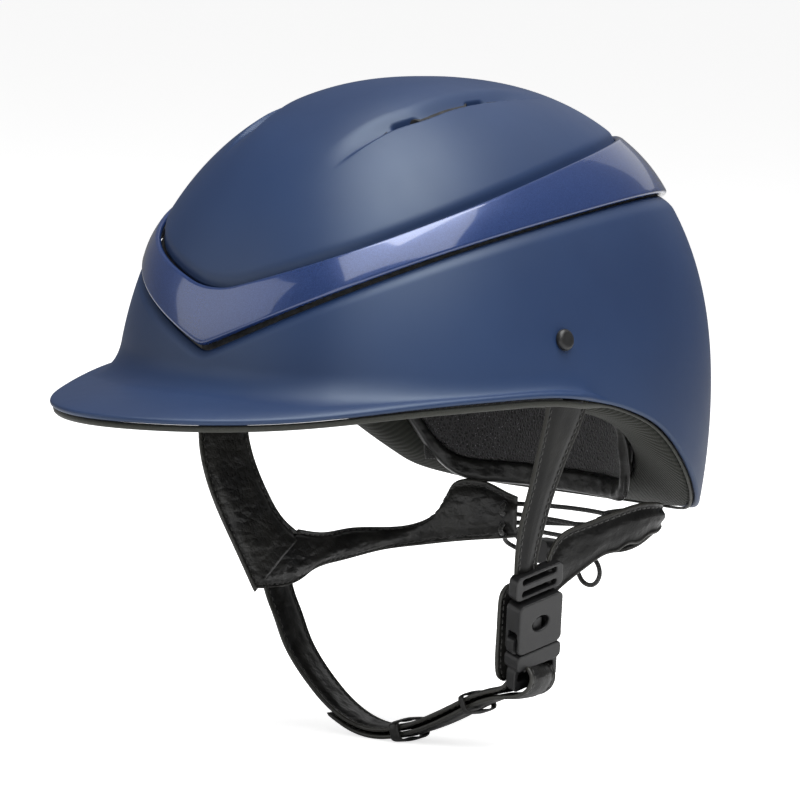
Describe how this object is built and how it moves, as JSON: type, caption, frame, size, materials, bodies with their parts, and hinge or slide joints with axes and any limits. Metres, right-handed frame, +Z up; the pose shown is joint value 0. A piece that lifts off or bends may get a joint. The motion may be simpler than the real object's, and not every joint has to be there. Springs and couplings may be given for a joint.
{
  "type": "equestrian riding helmet",
  "caption": "Peaked riding helmet: matte shell with a glossy V-shaped trim band, foam liner, comfort lining, laced nape and a strap harness with a side-release buckle.",
  "frame": {"origin": "centre of the head opening, level with the widest part of the head", "axes": "+Z up towards the crown; -Y is the wearer's forward direction, where the peak is; +X is the wearer's left, the buckle side"},
  "size_m": [0.229, 0.3351, 0.299],
  "materials": {
    "shell": "matte, fine soft-touch paint",
    "band": "high gloss, metallic navy",
    "lining": "woven lining",
    "foam": "expanded bead foam",
    "hook_and_loop": "hook tape",
    "ribbed_fabric": "ribbed knit",
    "mesh_fabric": "spacer mesh",
    "soft_leather": "soft grained, low sheen",
    "webbing": "woven webbing",
    "black_plastic": "fine moulded texture",
    "steel": "stamped",
    "black_metal": "black enamel",
    "cord": "braided"
  },
  "bodies": {
    "helmet": {"lower_shell": "shell", "crown_shell": "shell", "trim_band": "band", "peak_lining": "lining", "foam_liner": "foam", "lining_dots": "hook_and_loop", "edge_lining": "ribbed_fabric", "headband_pad": "mesh_fabric", "headband_trim": "soft_leather", "crown_pad": "mesh_fabric", "side_rivets": "black_plastic", "rivet_washers": "steel", "strap_anchors": "webbing", "nape_pad_left": "soft_leather", "nape_pad_right": "soft_leather", "nape_eyelets": "black_metal", "nape_lace": "cord", "lace_tail": "cord", "lace_bead": "black_plastic", "nape_hangers": "webbing"},
    "cord_lock": {"cord_lock_body": "black_plastic"},
    "lock_button": {"cord_lock_button": "black_plastic"},
    "harness": {"front_strap_left": "soft_leather", "rear_strap_left": "soft_leather", "front_strap_right": "soft_leather", "rear_strap_right": "soft_leather", "strap_divider": "black_plastic", "buckle_socket": "black_plastic", "buckle_pad": "soft_leather"},
    "plug": {"buckle_plug": "black_plastic", "chin_strap": "soft_leather", "chin_strap_tail": "soft_leather"},
    "prong_front": {"buckle_prong_front": "black_plastic"},
    "prong_rear": {"buckle_prong_rear": "black_plastic"},
    "keeper_front": {"strap_keeper_front": "soft_leather"},
    "keeper_rear": {"strap_keeper_rear": "soft_leather"}
  },
  "joints": [
    {"name": "harness_swing", "type": "hinge", "parent": "helmet", "child": "harness", "pos_m": [0, -0.013, 0.005], "axis": [1, 0, 0], "range_deg": [-10, 5]},
    {"name": "buckle_release", "type": "slide", "parent": "harness", "child": "plug", "axis": [-0.2752, 0.2874, -0.9174], "range_m": [0, 0.024]},
    {"name": "prong_rear_squeeze", "type": "hinge", "parent": "plug", "child": "prong_rear", "pos_m": [0.06822, 0.02059, -0.09925], "axis": [0.9578, 0, -0.2874], "range_deg": [0, 6], "stiffness_Nm_per_rad": 0.05},
    {"name": "prong_front_squeeze", "type": "hinge", "parent": "plug", "child": "prong_front", "pos_m": [0.06708, 0.00737, -0.10305], "axis": [0.9578, 0, -0.2874], "range_deg": [-6, 0], "stiffness_Nm_per_rad": 0.05},
    {"name": "keeper_front_slide", "type": "slide", "parent": "plug", "child": "keeper_front", "axis": [0.946, 0.1873, 0.2646], "range_m": [-0.004, 0.004]},
    {"name": "keeper_rear_slide", "type": "slide", "parent": "plug", "child": "keeper_rear", "axis": [0.8799, 0.1742, 0.4421], "range_m": [-0.003, 0.003]},
    {"name": "cord_lock_slide", "type": "slide", "parent": "helmet", "child": "cord_lock", "axis": [-1, 0, 0], "range_m": [0, 0.004]},
    {"name": "lock_button_press", "type": "slide", "parent": "cord_lock", "child": "lock_button", "axis": [0, -1, 0], "range_m": [0, 0.0018], "stiffness_N_per_m": 300}
  ],
  "couplings": [
    {"joint": "prong_front_squeeze", "follows": "prong_rear_squeeze", "ratio": -1}
  ]
}
